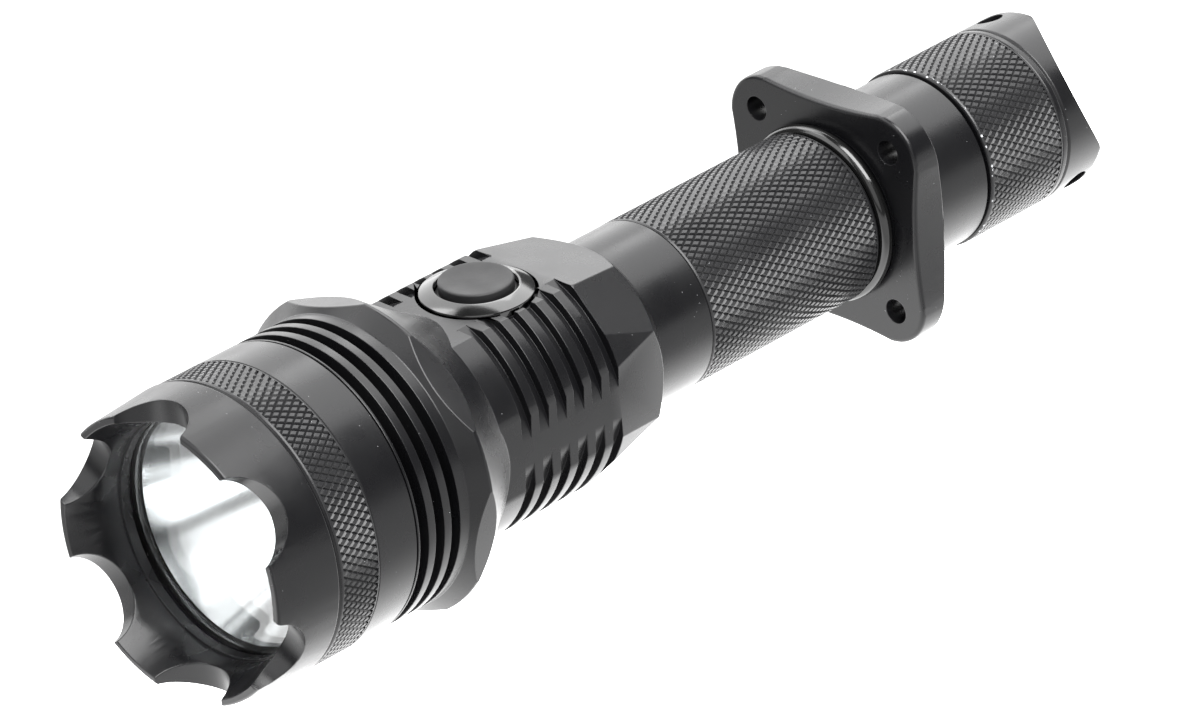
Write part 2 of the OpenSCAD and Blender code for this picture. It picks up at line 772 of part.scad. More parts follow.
module battery_tube() {
    knurl_r = neck_r + knurl_rise - knurl_depth;
    line_w = 0.4;
    relief_r = neck_r - eps;
    front_seal_z = z_body - seal_inset - seal_w;
    rear_seal_z = z_cap + seal_inset;
    front_end = [[bore_r, z_tube], [front_thread_r - edge, z_tube], [front_thread_r, z_tube + edge],
        [front_thread_r, front_seal_z], [front_floor, front_seal_z], [front_floor, front_seal_z + seal_w],
        [front_thread_r, front_seal_z + seal_w], [front_thread_r, z_body]];
    neck = [[neck_r, z_body], [neck_r, z_knurl - line_w], [knurl_r, z_knurl - line_w]];
    knurl_end = [[knurl_r, z_relief], [relief_r, z_relief], [relief_r, z_seal]];
    seal_groove = [[guard_floor, z_seal], [guard_floor, z_seal + guard_seal_w],
        [guard_seat_r, z_seal + guard_seal_w]];
    rear = [[guard_seat_r, z_rear], [rear_collar_r, z_rear], [rear_collar_r, z_cap - 2 * edge],
        [rear_collar_r - 2 * edge, z_cap], [rear_thread_r, z_cap], [rear_thread_r, rear_seal_z],
        [rear_floor, rear_seal_z], [rear_floor, rear_seal_z + seal_w], [rear_thread_r, rear_seal_z + seal_w],
        [rear_thread_r, z_tube_end - edge], [rear_thread_r - edge, z_tube_end], [bore_r, z_tube_end]];
    color("#303133") lay() rotate_extrude() polygon(concat(front_end, neck, knurl_end, seal_groove, rear));
}

module head_seal() {
    z_mid = z_body - seal_inset - seal_w / 2;
    color("#141414") lay() seal_ring(front_floor, thread_seal_d - seal_ease, z_mid);
}

module tail_seal() {
    z_mid = z_cap + seal_inset + seal_w / 2;
    color("#141414") lay() seal_ring(rear_floor, thread_seal_d - seal_ease, z_mid);
}

module guard_seal() {
    color("#101010") lay() seal_ring(guard_floor, guard_seal_d, z_seal + guard_seal_w / 2);
}

// A disc with rounded rims, for the guard's corners
module round_spool(r, rounding, z0, z1) {
    lower = quarter([r - rounding, z0], [r, z0 + rounding], [r, z0], 4);
    upper = quarter([r, z1 - rounding], [r - rounding, z1], [r, z1], 4);
    rotate_extrude() polygon(concat([[0, z0]], lower, upper, [[0, z1]]));
}

// A cutter that flares at both faces, for the guard's hollow sides
module flared_spool(r, rounding, z0, z1) {
    lower = quarter([r + rounding, z0], [r, z0 + rounding], [r, z0], 4);
    upper = quarter([r, z1 - rounding], [r + rounding, z1], [r, z1], 4);
    below = [[0, z0 - eps], [r + rounding, z0 - eps]];
    above = [[r + rounding, z1 + eps], [0, z1 + eps]];
    rotate_extrude() polygon(concat(below, lower, upper, above));
}

// A turned cutter that takes the guard's corners back from its rear face
module guard_back(z1, reach) {
    corner_tip = guard_corner * sqrt(2) + guard_corner_r;
    start_r = guard_mid - guard_edge - edge;
    slope = guard_fall / (corner_tip - start_r);
    far_r = 2 * reach;
    rotate_extrude()
        polygon([[start_r, z1], [far_r, z1 - slope * (far_r - start_r)], [far_r, z1 + eps],
            [start_r - eps / slope, z1 + eps]]);
}

module guard() {
    rise = guard_mid - guard_corner;
    side_r = (guard_corner * guard_corner + rise * rise - guard_corner_r * guard_corner_r)
        / (2 * (guard_corner_r - rise));
    side_lap = 0.05;
    lean = atan2(guard_corner, side_r + rise);
    reach = guard_corner + guard_corner_r;
    z1 = z_guard + guard_t;
    color("#333436") lay() difference() {
        translate([-reach, -reach, z_guard]) cube([2 * reach, 2 * reach, guard_t]);
        for (a = [0 : 90 : 270]) rotate([0, 0, a]) {
            translate([0, guard_mid + side_r, 0]) flared_spool(side_r, guard_edge, z_guard, z1);
            translate([guard_corner, guard_corner, 0]) difference() {
                translate([0, 0, z_guard - eps])
                    linear_extrude(guard_t + 2 * eps)
                        polygon([[0, 0], 2 * reach * [cos(lean), -sin(lean)], 2 * reach * [1, 1],
                            2 * reach * [-sin(lean), cos(lean)]]);
                round_spool(guard_corner_r + side_lap, guard_edge, z_guard, z1);
            }
            rotate([0, 0, 45])
                translate([guard_hole_circle / 2, 0, 0])
                    disc(guard_hole_d / 2, z_guard - eps, z1 + eps);
        }
        guard_back(z1, reach);
        disc(guard_seat_r + thread_gap, z_guard - eps, z1 + eps);
    }
}

module battery_cell() {
    color("#3d6fa8") lay() difference() {
        disc(cell_d / 2, z_cell + cell_button_h, z_cell_end);
        hoop(cell_d, cell_d / 2 - edge, z_cell + cell_button_h - eps, z_cell + cell_button_h + edge);
    }
}

module cell_button() {
    plate_t = 0.4;
    plate_inset = 2;
    contact_d = 7.2;
    z_can = z_cell + cell_button_h;
    color("#c9ccd0") lay() union() {
        disc(cell_d / 2 - plate_inset, z_can - plate_t, z_can);
        disc(contact_d / 2, z_cell, z_can);
    }
}

module tail_cap() {
    knurl_r = cap_r - knurl_depth;
    z_line = z_cap + cap_line;
    rounding = 1.4;
    thumb_lip = 0.25;
    end_edge = quarter([cap_r, z_end - rounding], [cap_r - rounding, z_end], [cap_r, z_end], 4);
    line_depth = 0.4;
    z_front = z_cap + face_gap;
    hole_r = tail_button_r + slide_gap;
    hole_inset = 0.8;
    outside = [[cap_bore_r, z_front], [cap_r - edge, z_front], [knurl_r, z_front + edge],
        [knurl_r, z_cap + cap_knurl_len], [cap_r, z_cap + cap_knurl_len + knurl_depth],
        [cap_r, z_line - cap_line_w / 2], [cap_r - line_depth, z_line], [cap_r, z_line + cap_line_w / 2]];
    inside = [[recess_d / 2, z_end], [recess_d / 2, z_recess], [hole_r, z_recess], [hole_r, z_wall],
        [chamber_r, z_wall], [chamber_r, z_chamber], [cap_bore_r, z_chamber]];
    color("#303133") lay() difference() {
        rotate_extrude() polygon(concat(outside, end_edge, inside));
        for (side = [0, 180]) rotate([0, 0, thumb_turn + side]) {
            translate([0, 0, z_recess + thumb_lip + thumb_r])
                rotate([-90, 0, 0])
                    cylinder(r = thumb_r, h = 2 * cap_r);
            for (a = [-lanyard_angle, lanyard_angle])
                rotate([0, 0, 90 + a])
                    translate([0, 0, z_recess + ear_len / 2 - hole_inset])
                        rotate([-90, 0, 0])
                            cylinder(r = lanyard_d / 2, h = 2 * cap_r);
        }
    }
}

module tail_button() {
    button_sink = 2.2;
    z_top = z_end - button_sink;
    rounding = 1.6;
    dome_edge = quarter([tail_button_r, z_top - rounding], [tail_button_r - rounding, z_top],
        [tail_button_r, z_top], 4);
    color("#161616") lay() rotate_extrude()
        polygon(concat([[0, z_tail_flange], [tail_flange_r, z_tail_flange],
            [tail_flange_r, z_wall - face_gap], [tail_button_r, z_wall - face_gap]], dome_edge,
            [[0, z_top + edge]]));
}

tail_plunger_r = 2;
tail_plunger_sink = 0.8;
z_tail_well = z_tail_switch + tail_switch_h - tail_plunger_sink - plunger_room - tail_travel;

module tail_plunger() {
    color("#d8d4c4") lay() disc(tail_plunger_r, z_tail_well + tail_travel + plunger_room, z_tail_flange);
}

module tail_switch() {
    color("#1d1e20") lay() difference() {
        disc(tail_button_r - slide_gap, z_tail_switch, z_tail_switch + tail_switch_h);
        disc(tail_plunger_r + slide_gap, z_tail_well, z_wall);
    }
}

module tail_switch_board() {
    color("#1e5a34") lay() disc(chamber_r - seat_gap, z_tail_board, z_tail_switch);
}

module tail_spacer() {
    color("#e4e2da") lay() hoop(chamber_r - seat_gap, tail_flange_r + 2 * slide_gap, z_tail_switch, z_wall);
}

module tail_retainer() {
    key_r = 0.8;
    key_depth = 1.1;
    color("#b6a05a") lay() difference() {
        hoop(chamber_r - thread_gap, tail_coil_base + tail_wire, z_chamber, z_tail_board);
        for (a = [0, 180])
            rotate([0, 0, a])
                translate([chamber_r - 2 * key_r, 0, 0])
                    disc(key_r, z_chamber - eps, z_chamber + key_depth);
    }
}

crown_bezel();
lens();
lens_seal();
head_shell();
reflector();
led_centring_ring();
led_package();
led_dome();
led_board();
board_screws();
head_body();
led_leads();
driver_board();
driver_parts();
driver_retainer();
head_spring();
switch_ring();
side_button();
side_plunger();
side_switch();
side_switch_board();
battery_tube();
head_seal();
guard();
guard_seal();
tail_seal();
battery_cell();
cell_button();
tail_cap();
tail_button();
tail_plunger();
tail_switch();
tail_switch_board();
tail_spacer();
tail_retainer();
tail_spring();
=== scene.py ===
"""Dresses the flashlight's solids: knurling, mirror, rounded edges, finishes and a small studio."""
import logging
import math
from collections.abc import Iterator, Mapping, Sequence
from dataclasses import dataclass
from enum import Enum

import bmesh
import bpy
from bmesh.types import BMEdge, BMesh, BMVert
from bpy.types import Material, Mesh, Node, NodeSocket, NodeTree, Object
from mathutils import Matrix, Vector


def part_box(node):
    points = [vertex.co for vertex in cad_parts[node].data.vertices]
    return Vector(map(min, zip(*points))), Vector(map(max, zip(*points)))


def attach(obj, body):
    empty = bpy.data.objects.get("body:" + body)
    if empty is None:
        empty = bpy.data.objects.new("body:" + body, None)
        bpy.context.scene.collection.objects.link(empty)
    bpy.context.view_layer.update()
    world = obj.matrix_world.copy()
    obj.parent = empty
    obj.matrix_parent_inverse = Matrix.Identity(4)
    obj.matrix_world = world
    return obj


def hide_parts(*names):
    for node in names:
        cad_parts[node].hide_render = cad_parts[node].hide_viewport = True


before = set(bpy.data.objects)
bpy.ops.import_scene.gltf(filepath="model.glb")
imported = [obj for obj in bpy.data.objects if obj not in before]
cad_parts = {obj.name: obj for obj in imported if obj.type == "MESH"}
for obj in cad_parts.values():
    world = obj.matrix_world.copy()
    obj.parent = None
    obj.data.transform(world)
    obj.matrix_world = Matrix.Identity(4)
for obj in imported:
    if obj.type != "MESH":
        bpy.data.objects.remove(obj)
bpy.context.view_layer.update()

log = logging.getLogger("flashlight")

Pair = tuple[float, float]
Triple = tuple[float, float, float]

MM = 0.001
BEAM_AXIS = Vector((1.0, 0.0, 0.0))
SWITCH_AXIS = Vector((0.0, 0.0, 1.0))
QUARTER_DEG = 90.0

# The attribute that says how far a point of the surface is rubbed, and its value on a broken edge.
EDGE_WEAR = "edge_wear"
EDGE_RUBBED = 0.35
BROKEN_EDGE_FACES = 2

# How near counts as one place, in metres: at a spin's seam or a cut, in a solid's loose triangles,
# and between the teeth of a knurl, whose corners meet to within about ten micrometres.
SAME_PLACE = 1e-7
SOLID_MERGE = 2e-6
TOOTH_MERGE = 2e-5

# The Mix node's sockets for colours, by number because its other kinds use the same names.
MIX_SHARE, MIX_FIRST, MIX_SECOND, MIX_COLOUR = 0, 6, 7, 2

# The noise in every finish: its octaves, and the span in which nearly all its values lie.
CLOUD_DETAIL = 4.0
GRAIN_DETAIL = 2.0
NOISE_SPAN = (0.3, 0.7)


def linear(colour: str) -> tuple[float, float, float, float]:
    """Turns an sRGB hex colour into linear light, by the curve of the sRGB standard.

    Args:
        colour: A value such as "#1a1b1c".

    Returns:
        Red, green, blue and an alpha of one.
    """
    parts = [int(colour[i:i + 2], 16) / 255 for i in (1, 3, 5)]
    red, green, blue = [p / 12.92 if p <= 0.04045 else ((p + 0.055) / 1.055) ** 2.4 for p in parts]
    return red, green, blue, 1.0


def add_node(tree: NodeTree, kind: str, values: Mapping[str | int, object] | None = None,
             links: Mapping[str | int, NodeSocket] | None = None, **settings: object) -> Node:
    """Adds one shader node.

    Args:
        tree: The material's node tree.
        kind: The node's type name.
        values: Constants for its input sockets.
        links: Output sockets that feed its input sockets.
        settings: The node's own properties.

    Returns:
        The new node.
    """
    node = tree.nodes.new(kind)
    for name, value in settings.items():
        setattr(node, name, value)
    for name, value in (values or {}).items():
        node.inputs[name].default_value = value
    for name, socket in (links or {}).items():
        tree.links.new(socket, node.inputs[name])
    return node


def blank_material(name: str) -> Material:
    """Makes a material whose node tree is empty.

    Args:
        name: The material's name.

    Returns:
        The new material.
    """
    made = bpy.data.materials.new(name)
    made.use_nodes = True
    made.node_tree.nodes.clear()
    return made


class Grain(Enum):
    """How a surface was made, as the scale of its fine marks along X, Y and Z.

    Turning draws them out into rings round the beam axis, and a mould leaves them broader.
    """

    BLASTED = (1.0, 1.0, 1.0)
    TURNED = (1.0, 0.02, 0.02)
    MOULDED = (0.6, 0.6, 0.6)


@dataclass(frozen=True)
class Wear:
    """How a thin dark film wears: its edges pale in patches, and sparse bright nicks gather there.

    Attributes:
        rubbed: The colour of a rubbed edge.
        bare: The colour of the metal in a nick.
        patch_mm: The size of the rubbed patches.
        patch_detail: The octaves in their outline.
        spacing_mm: The spacing of the places where a nick may be.
        gather: The power by which nicks keep to what is rubbed most.
        nick: A nick's radius on plain faces and what full wear adds, as shares of the spacing.
        pull: What full wear adds to a patch when the nicked places are chosen.
        threshold: The sum above which a place is nicked.
    """

    rubbed: str
    bare: str
    patch_mm: float = 9.0
    patch_detail: float = 3.0
    spacing_mm: float = 0.8
    gather: float = 5.0
    nick: Pair = (0.05, 0.24)
    pull: float = 0.3
    threshold: float = 0.6

    def over(self, tree: NodeTree, place: NodeSocket, colour: NodeSocket) -> NodeSocket:
        """Lays the wear over a film.

        Args:
            tree: The material's node tree.
            place: The surface's coordinates.
            colour: The colour of the whole film.

        Returns:
            The colour with its wear.
        """
        edge = add_node(tree, "ShaderNodeAttribute", attribute_name=EDGE_WEAR).outputs["Fac"]
        patches = add_node(tree, "ShaderNodeTexNoise",
                           {"Scale": 1 / (self.patch_mm * MM), "Detail": self.patch_detail},
                           {"Vector": place}).outputs["Fac"]
        rubbed = add_node(tree, "ShaderNodeMath", None, {0: edge, 1: patches}, operation="MULTIPLY")
        pale = add_node(tree, "ShaderNodeMix", {MIX_SECOND: linear(self.rubbed)},
                        {MIX_SHARE: rubbed.outputs[0], MIX_FIRST: colour}, data_type="RGBA")
        cells = add_node(tree, "ShaderNodeTexVoronoi", {"Scale": 1 / (self.spacing_mm * MM)},
                         {"Vector": place})
        most = add_node(tree, "ShaderNodeMath", {1: self.gather}, {0: edge},
                        operation="POWER").outputs[0]
        plain, added = self.nick
        reach = add_node(tree, "ShaderNodeMath", {1: added, 2: plain}, {0: most},
                         operation="MULTIPLY_ADD")
        spot = add_node(tree, "ShaderNodeMath", None,
                        {0: cells.outputs["Distance"], 1: reach.outputs[0]}, operation="LESS_THAN")
        bared = add_node(tree, "ShaderNodeMath", {1: self.pull}, {0: most, 2: patches},
                         operation="MULTIPLY_ADD")
        where = add_node(tree, "ShaderNodeMath", {1: self.threshold}, {0: bared.outputs[0]},
                         operation="GREATER_THAN")
        nick = add_node(tree, "ShaderNodeMath", None, {0: spot.outputs[0], 1: where.outputs[0]},
                        operation="MULTIPLY")
        worn = add_node(tree, "ShaderNodeMix", {MIX_SECOND: linear(self.bare)},
                        {MIX_SHARE: nick.outputs[0], MIX_FIRST: pale.outputs[MIX_COLOUR]},
                        data_type="RGBA")
        return worn.outputs[MIX_COLOUR]


@dataclass(frozen=True)
class Finish:
    """A material, named for what it is and how its surface was made.

    Attributes:
        name: The material's name.
        colour: One end of its slight variation in colour.
        second: The other end.
        roughness: The ends of its variation in roughness.
        cloud_mm: The size of the areas that vary.
        grain: The stretch of its fine marks.
        grain_mm: The size of its fine marks.
        relief_mm: Their height.
        metallic: One for a metal, else zero.
        ior: The index of refraction. A metal keeps the default.
        transmission: One for clear glass, else zero.
        coat: The weight of a clear coat.
        wear: How it wears, if that shows.
    """

    name: str
    colour: str
    second: str
    roughness: Pair
    cloud_mm: float
    grain: Grain
    grain_mm: float
    relief_mm: float
    metallic: float = 0.0
    ior: float = 1.5
    transmission: float = 0.0
    coat: float = 0.0
    wear: Wear | None = None

    def material(self) -> Material:
        """Builds the node material, or finds the one that is already there.

        Returns:
            The material.
        """
        made = bpy.data.materials.get(self.name)
        if made:
            return made
        made = blank_material(self.name)
        made.diffuse_color = linear(self.colour)
        tree = made.node_tree
        place = add_node(tree, "ShaderNodeTexCoord").outputs["Object"]
        cloud = add_node(tree, "ShaderNodeTexNoise",
                         {"Scale": 1 / (self.cloud_mm * MM), "Detail": CLOUD_DETAIL},
                         {"Vector": place}).outputs["Fac"]
        stretch = add_node(tree, "ShaderNodeMapping", {"Scale": self.grain.value},
                           {"Vector": place})
        fine = add_node(tree, "ShaderNodeTexNoise",
                        {"Scale": 1 / (self.grain_mm * MM), "Detail": GRAIN_DETAIL},
                        {"Vector": stretch.outputs["Vector"]})
        blend = add_node(tree, "ShaderNodeMix",
                         {MIX_FIRST: linear(self.colour), MIX_SECOND: linear(self.second)},
                         {MIX_SHARE: cloud}, data_type="RGBA")
        colour = blend.outputs[MIX_COLOUR]
        if self.wear:
            colour = self.wear.over(tree, place, colour)
        sheen = add_node(tree, "ShaderNodeMapRange",
                         {"From Min": NOISE_SPAN[0], "From Max": NOISE_SPAN[1],
                          "To Min": self.roughness[0], "To Max": self.roughness[1]},
                         {"Value": cloud})
        relief = add_node(tree, "ShaderNodeBump",
                          {"Strength": 1.0, "Distance": self.relief_mm * MM},
                          {"Height": fine.outputs["Fac"]})
        shader = add_node(tree, "ShaderNodeBsdfPrincipled",
                          {"Metallic": self.metallic, "IOR": self.ior, "Coat Weight": self.coat,
                           "Transmission Weight": self.transmission},
                          {"Base Color": colour, "Roughness": sheen.outputs["Result"],
                           "Normal": relief.outputs["Normal"]})
        add_node(tree, "ShaderNodeOutputMaterial", None, {"Surface": shader.outputs["BSDF"]})
        return made


# Hard-anodised aluminium, blasted first: a glassy black oxide film over fine pits, so it is dark
# where it faces the eye, pale at grazing angles, and a little grainy. The pits are drawn coarser
# than life to show.
ANODISED = Finish("black_anodised_aluminium", "#08080a", "#0e0e0f", (0.24, 0.32), 8.0,
                  Grain.BLASTED, 0.16, 0.008, ior=1.34, wear=Wear(rubbed="#303031", bare="#9a9b9d"))
# A ring that was turned, polished and dyed grey: clear, long highlights like those of dark chrome.
POLISHED = Finish("polished_anodised_aluminium", "#474747", "#525252", (0.1, 0.16), 5.0,
                  Grain.BLASTED, 0.3, 0.001, metallic=1.0)
# Silicone rubber moulded against a spark-eroded tool: soft broad sheen, faint pebbling.
BUTTON_RUBBER = Finish("moulded_silicone_rubber", "#0d0d0e", "#131314", (0.5, 0.6), 3.0,
                       Grain.MOULDED, 0.25, 0.012, ior=1.36)
# Greased nitrile cord: deep black with a narrow, wet-looking highlight.
SEAL_RUBBER = Finish("nitrile_seal_cord", "#080808", "#0e0e0e", (0.12, 0.16), 4.0, Grain.MOULDED,
                     0.4, 0.002)
# Float glass with a coating: clear, with one mirror-like reflection.
GLASS = Finish("coated_float_glass", "#f4f8fa", "#fbfdfd", (0.0, 0.01), 20.0, Grain.MOULDED,
               5.0, 0.0, ior=1.5, transmission=1.0)
# Aluminium vapour on a spun bowl: a smooth mirror with a slight haze.
MIRROR = Finish("metallised_mirror", "#f0f0f0", "#f8f8f8", (0.1, 0.16), 10.0, Grain.TURNED,
                1.5, 0.0006, metallic=1.0)
# Moulded nylon: milky white with a soft sheen.
NYLON = Finish("moulded_white_nylon", "#e4e1d6", "#ece9df", (0.45, 0.55), 3.0, Grain.MOULDED,
               0.3, 0.006)
# Fired alumina: matte white.
ALUMINA = Finish("fired_alumina_ceramic", "#e6e2d2", "#efecdf", (0.5, 0.6), 2.0, Grain.BLASTED,
                 0.2, 0.004)
# Clear silicone over yellow phosphor: a wet-looking yellow bead.
PHOSPHOR = Finish("silicone_over_phosphor", "#e9c23a", "#f2d35c", (0.06, 0.12), 1.5, Grain.MOULDED,
                  0.6, 0.002, ior=1.41, coat=0.5)
# White solder mask on an aluminium board: eggshell white.
WHITE_MASK = Finish("white_solder_mask", "#e9eae6", "#f2f2ef", (0.3, 0.4), 4.0, Grain.MOULDED,
                    0.5, 0.004)
# Green solder mask on glass-fibre resin: glossy green, a little uneven.
GREEN_MASK = Finish("green_solder_mask", "#12472a", "#1a5a36", (0.22, 0.32), 1.2, Grain.MOULDED,
                    0.6, 0.006)
# Moulded epoxy of components: charcoal and dull.
EPOXY = Finish("moulded_black_epoxy", "#1d1e20", "#2a2b2d", (0.5, 0.6), 2.0, Grain.BLASTED,
               0.2, 0.006)
# Nickel-plated steel: pale grey, dulled by tumbling.
NICKEL = Finish("nickel_plated_steel", "#b4b6b9", "#c8cacc", (0.22, 0.34), 2.0, Grain.BLASTED,
                0.3, 0.003, metallic=1.0)
# Silicone insulation of a stranded lead: dull red.
LEAD_SILICONE = Finish("red_silicone_insulation", "#8c1d18", "#a12a22", (0.5, 0.6), 3.0,
                       Grain.MOULDED, 0.4, 0.004)
# Turned brass: warm and bright, with fine rings.
BRASS = Finish("turned_brass", "#b3924a", "#c7a960", (0.2, 0.3), 3.0, Grain.TURNED,
               0.4, 0.003, metallic=1.0)
# Shrink film over a steel can: glossy plastic with slight wrinkles.
SHRINK_FILM = Finish("blue_shrink_film", "#27568c", "#30649d", (0.24, 0.34), 9.0, Grain.MOULDED,
                     2.0, 0.02, coat=0.3)

NODE_FINISHES: dict[Finish, tuple[str, ...]] = {
    ANODISED: ("crown_bezel", "head_shell", "head_body", "battery_tube", "guard", "tail_cap"),
    POLISHED: ("switch_ring",),
    BUTTON_RUBBER: ("side_button", "tail_button"),
    SEAL_RUBBER: ("lens_seal", "head_seal", "guard_seal", "tail_seal"),
    GLASS: ("lens",),
    MIRROR: ("reflector",),
    NYLON: ("led_centring_ring", "side_plunger", "tail_plunger", "tail_spacer"),
    ALUMINA: ("led_package",),
    PHOSPHOR: ("led_dome",),
    WHITE_MASK: ("led_board",),
    GREEN_MASK: ("driver_board", "side_switch_board", "tail_switch_board"),
    EPOXY: ("driver_parts", "tail_switch"),
    NICKEL: ("board_screws", "side_switch", "cell_button"),
    LEAD_SILICONE: ("led_leads",),
    BRASS: ("driver_retainer", "head_spring", "tail_retainer", "tail_spring"),
    SHRINK_FILM: ("battery_cell",),
}


def dress(piece: Object, finish: Finish) -> None:
    """Gives a piece one finish all over."""
    piece.data.materials.clear()
    piece.data.materials.append(finish.material())


def off_axis(place: Vector) -> float:
    """Gives a point's distance from the beam axis."""
    return math.hypot(place.y, place.z)


def from_switch_deg(place: Vector) -> float:
    """Gives a point's angle from the switch round the beam axis, on either side."""
    return math.degrees(math.atan2(abs(place.y), place.z))


def everything(shape: BMesh) -> list[BMVert | BMEdge | bmesh.types.BMFace]:
    """Lists all that a mesh is made of."""
    return shape.verts[:] + shape.edges[:] + shape.faces[:]


def to_mesh(name: str, shape: BMesh) -> Mesh:
    """Turns a bmesh into a mesh.

    Args:
        name: The mesh's name.
        shape: The bmesh, which is freed here.

    Returns:
        The new mesh.
    """
    mesh = bpy.data.meshes.new(name)
    shape.to_mesh(mesh)
    shape.free()
    return mesh


def add_object(name: str, data: bpy.types.ID) -> Object:
    """Puts a mesh, a camera or a light into the scene.

    Args:
        name: The object's name.
        data: What it shows.

    Returns:
        The new object, at the origin.
    """
    made = bpy.data.objects.new(name, data)
    bpy.context.scene.collection.objects.link(made)
    return made


def weigh_normals(mesh: Mesh, crease_deg: float) -> None:
    """Lets broad faces set the shading at their corners, so that narrow edge faces take the turn.

    Args:
        mesh: The mesh that is changed.
        crease_deg: Faces that turn more than this from each other don't share a corner's normal.
    """
    limit = math.cos(math.radians(crease_deg))
    around: list[list[tuple[Vector, float]]] = [[] for _ in mesh.vertices]
    for face in mesh.polygons:
        for vertex in face.vertices:
            around[vertex].append((face.normal.copy(), face.area))
    normals: list[Vector] = []
    for face in mesh.polygons:
        for vertex in face.vertices:
            near = [normal * area for normal, area in around[vertex]
                    if normal.dot(face.normal) > limit]
            normals.append(sum(near, Vector()).normalized())
    mesh.normals_split_custom_set(normals)


def finish_piece(name: str, shape: BMesh, finish: Finish, body: str, slot: str,
                 crease_deg: float = 32.0, weighted: bool = False) -> Object:
    """Turns a finished bmesh into a dressed piece that rides on a body.

    Args:
        name: The piece's name.
        shape: The mesh, in place in the flashlight's frame. It is freed here.
        finish: The piece's material.
        body: The body that carries the piece.
        slot: The record's material slot. It is not used.
        crease_deg: Edges sharper than this stay sharp in the shading.
        weighted: Whether broad faces outweigh narrow ones in the shading.

    Returns:
        The new object.
    """
    mesh = to_mesh(name, shape)
    mesh.polygons.foreach_set("use_smooth", [True] * len(mesh.polygons))
    mesh.set_sharp_from_angle(angle=math.radians(crease_deg))
    if weighted:
        weigh_normals(mesh, crease_deg)
    piece = add_object(name, mesh)
    dress(piece, finish)
    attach(piece, body)
    log.info("%s: %d faces on %s", name, len(mesh.polygons), body)
    return piece


def round_edges(shape: BMesh, edges: list[BMEdge], width_mm: float, segments: int,
                clamp: bool) -> dict[str, list]:
    """Rounds some edges of a shape.

    Args:
        shape: The mesh that is changed.
        edges: The edges.
        width_mm: How far the rounding reaches on each side of an edge.
        segments: Faces across the rounding.
        clamp: Whether the width gives way where two roundings would overlap.

    Returns:
        The new faces, edges and vertices, under those names.
    """
    return bmesh.ops.bevel(shape, geom=edges, offset=width_mm * MM, offset_type="OFFSET",
                           affect="EDGES", segments=segments, profile=0.5, material=-1,
                           clamp_overlap=clamp)


def break_edges(shape: BMesh, width_mm: float, sharper_deg: float,
                shallow: Sequence[BMEdge]) -> None:
    """Rounds every edge of a closed shape that is sharper than an angle, and marks it as worn.

    Args:
        shape: The mesh that is changed.
        width_mm: How far the rounding reaches on each side of an edge.
        sharper_deg: Edges with a smaller turn than this stay as they are.
        shallow: Edges that are rounded whatever their turn.
    """
    wear = shape.verts.layers.float.new(EDGE_WEAR)
    limit = math.radians(sharper_deg)
    sharp = [edge for edge in shape.edges
             if edge.is_manifold and (edge in shallow or edge.calc_face_angle(0.0) > limit)]
    made = round_edges(shape, sharp, width_mm, BROKEN_EDGE_FACES, clamp=False)
    # A strip's area is about half its outline times its width, so narrow faces are the rounding's.
    rounded = {face for face in made["faces"]
               if 2 * face.calc_area() < width_mm * MM * face.calc_perimeter()}
    for vertex in made["verts"]:
        if all(face in rounded for face in vertex.link_faces):
            vertex[wear] = EDGE_RUBBED


def turned(profile: Sequence[Pair], axis: Vector, start: Vector, steps: int,
           closed: bool = True) -> BMesh:
    """Spins a profile round an axis, as a lathe would turn it.

    Args:
        profile: Pairs of a distance along the axis and a radius, in millimetres.
        axis: The unit axis.
        start: The point on the axis where distances begin, in metres.
        steps: Faces round the turn.
        closed: Whether the profile's end joins its beginning.

    Returns:
        The turned shape, with its normals outwards.
    """
    shape = bmesh.new()
    outward = axis.orthogonal().normalized()
    points = [shape.verts.new(start + axis * (along * MM) + outward * (radius * MM))
              for along, radius in profile]
    pairs = list(zip(points, points[1:]))
    if closed:
        pairs.append((points[-1], points[0]))
    edges = [shape.edges.new(pair) for pair in pairs]
    bmesh.ops.spin(shape, geom=points + edges, cent=start, axis=axis, dvec=(0, 0, 0),
                   angle=math.tau, steps=steps, use_merge=True)
    bmesh.ops.remove_doubles(shape, verts=shape.verts[:], dist=SAME_PLACE)
    bmesh.ops.recalc_face_normals(shape, faces=shape.faces[:])
    return shape


@dataclass
class SoftenedPart:
    """A machined part whose sharp edges are broken, as tumbling and blasting leave them.

    Attributes:
        node: The solid that it stands for.
        body: The body that carries it.
        finish: Its material.
        slot: Its material slot in the record.
        width_mm: How far a broken edge reaches on each side.
        sharper_deg: Edges that turn more than this are broken.
        flat_deg: Faces of the solid that turn less than this from each other are joined.
        crease_deg: Edges that turn more than this stay sharp in the shading.
    """

    node: str
    body: str
    finish: Finish
    slot: str
    width_mm: float = 0.14
    sharper_deg: float = 28.0
    flat_deg: float = 0.4
    crease_deg: float = 40.0

    def carve(self, shape: BMesh) -> list[BMEdge]:
        """Leaves the copied solid as it is, and names no shallow edges to break."""
        return []

    def build(self) -> Object:
        """Copies the part's solid, merges its triangles, carves it and breaks its edges.

        Returns:
            The piece that stands for the solid.
        """
        shape = bmesh.new()
        shape.from_mesh(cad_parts[self.node].data)
        bmesh.ops.remove_doubles(shape, verts=shape.verts[:], dist=SOLID_MERGE)
        bmesh.ops.dissolve_limit(shape, angle_limit=math.radians(self.flat_deg),
                                 verts=shape.verts[:], edges=shape.edges[:])
        shallow = self.carve(shape)
        break_edges(shape, self.width_mm, self.sharper_deg, shallow)
        piece = finish_piece(f"{self.node}_softened", shape, self.finish, self.body, self.slot,
                             crease_deg=self.crease_deg, weighted=True)
        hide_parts(self.node)
        return piece


